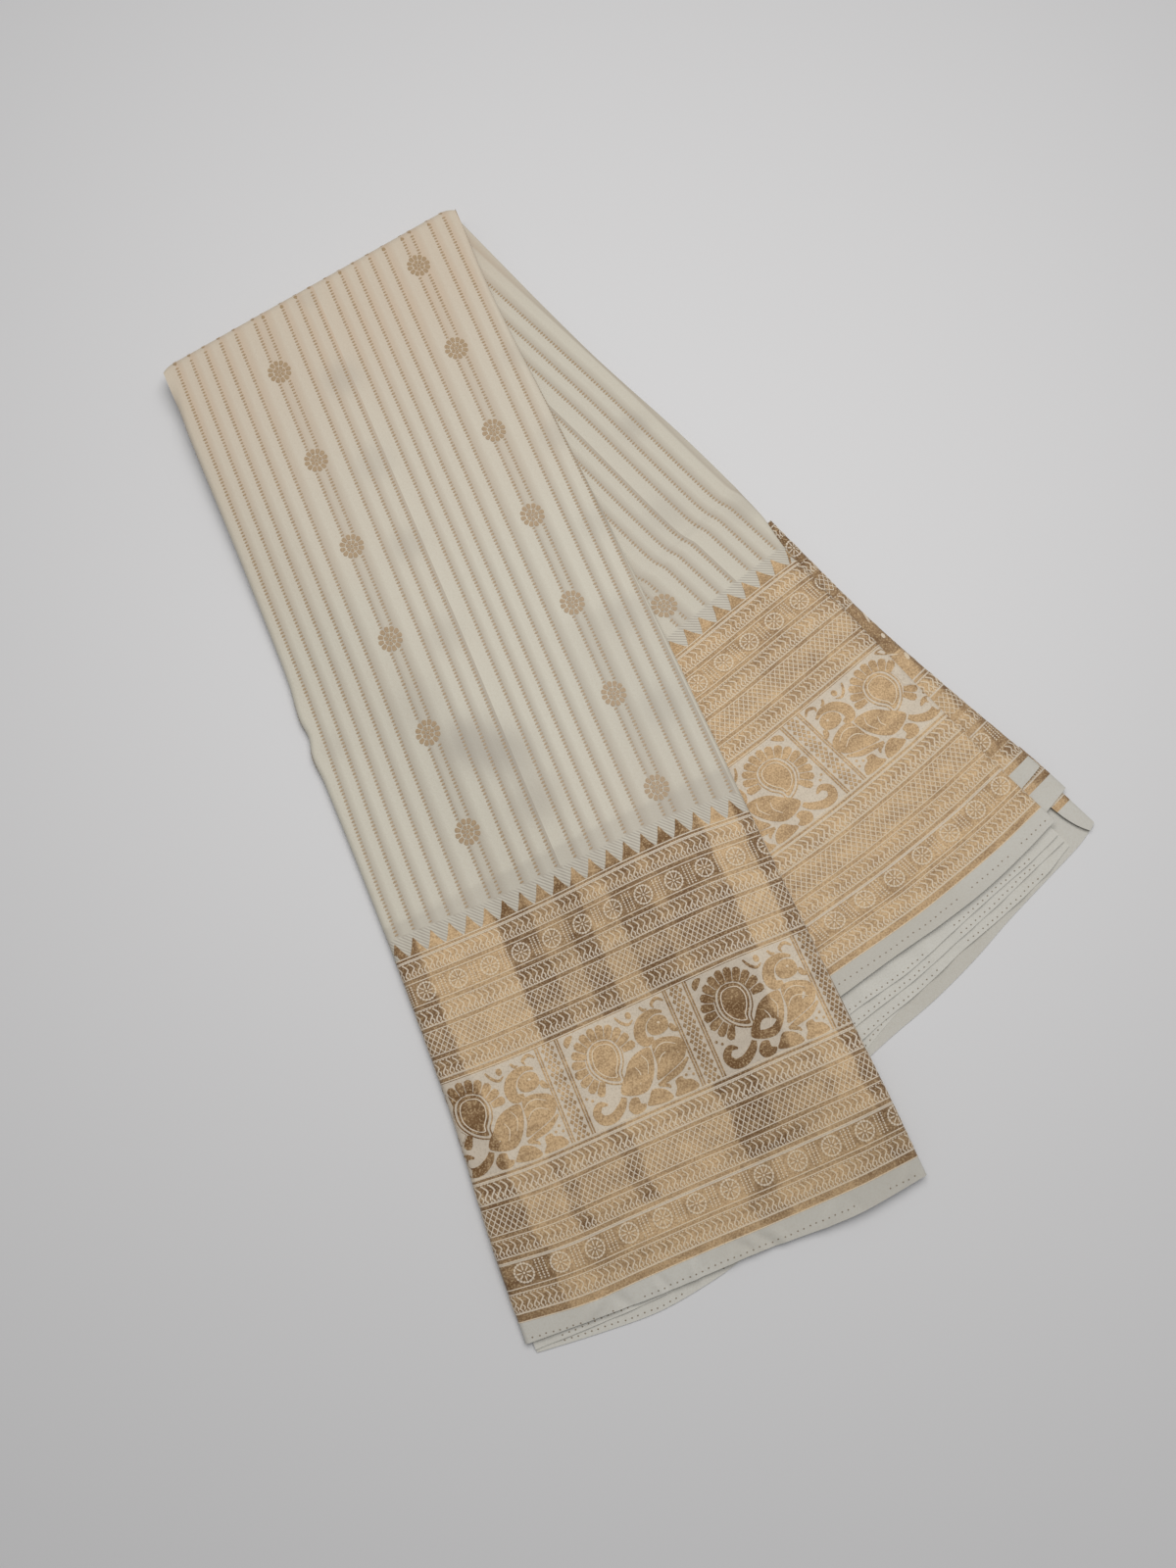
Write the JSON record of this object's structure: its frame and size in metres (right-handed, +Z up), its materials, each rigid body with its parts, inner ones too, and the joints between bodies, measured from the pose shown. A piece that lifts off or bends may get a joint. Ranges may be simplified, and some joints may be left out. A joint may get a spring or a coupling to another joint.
{
  "type": "folded crepe saree",
  "caption": "Folded crepe saree with wide gold-woven borders, a flat pile folded over once with its two arms fanned, resting on a table.",
  "frame": {"origin": "on the table, under the middle of the whole pile's box", "axes": "+Z up from the table, +Y towards the fold at the top of the pile, +X towards the back arm's free corner"},
  "size_m": [0.5222, 0.6418, 0.0147],
  "materials": {
    "crepe_and_zari": "soft crepe with satin gold weave",
    "layered_edges": "matte",
    "hem_ends": "matte",
    "zari_folds": "satin"
  },
  "bodies": {
    "root": {"outer_stretch": "crepe_and_zari", "folded_core": "layered_edges", "inner_stretch": "crepe_and_zari", "front_layer3": "hem_ends", "front_layer2": "hem_ends", "back_layer5": "hem_ends", "back_layer4": "hem_ends", "back_layer3": "hem_ends", "back_layer2": "hem_ends", "back_pleat_1": "zari_folds", "back_pleat_2": "zari_folds", "back_pleat_3": "zari_folds"}
  },
  "joints": []
}
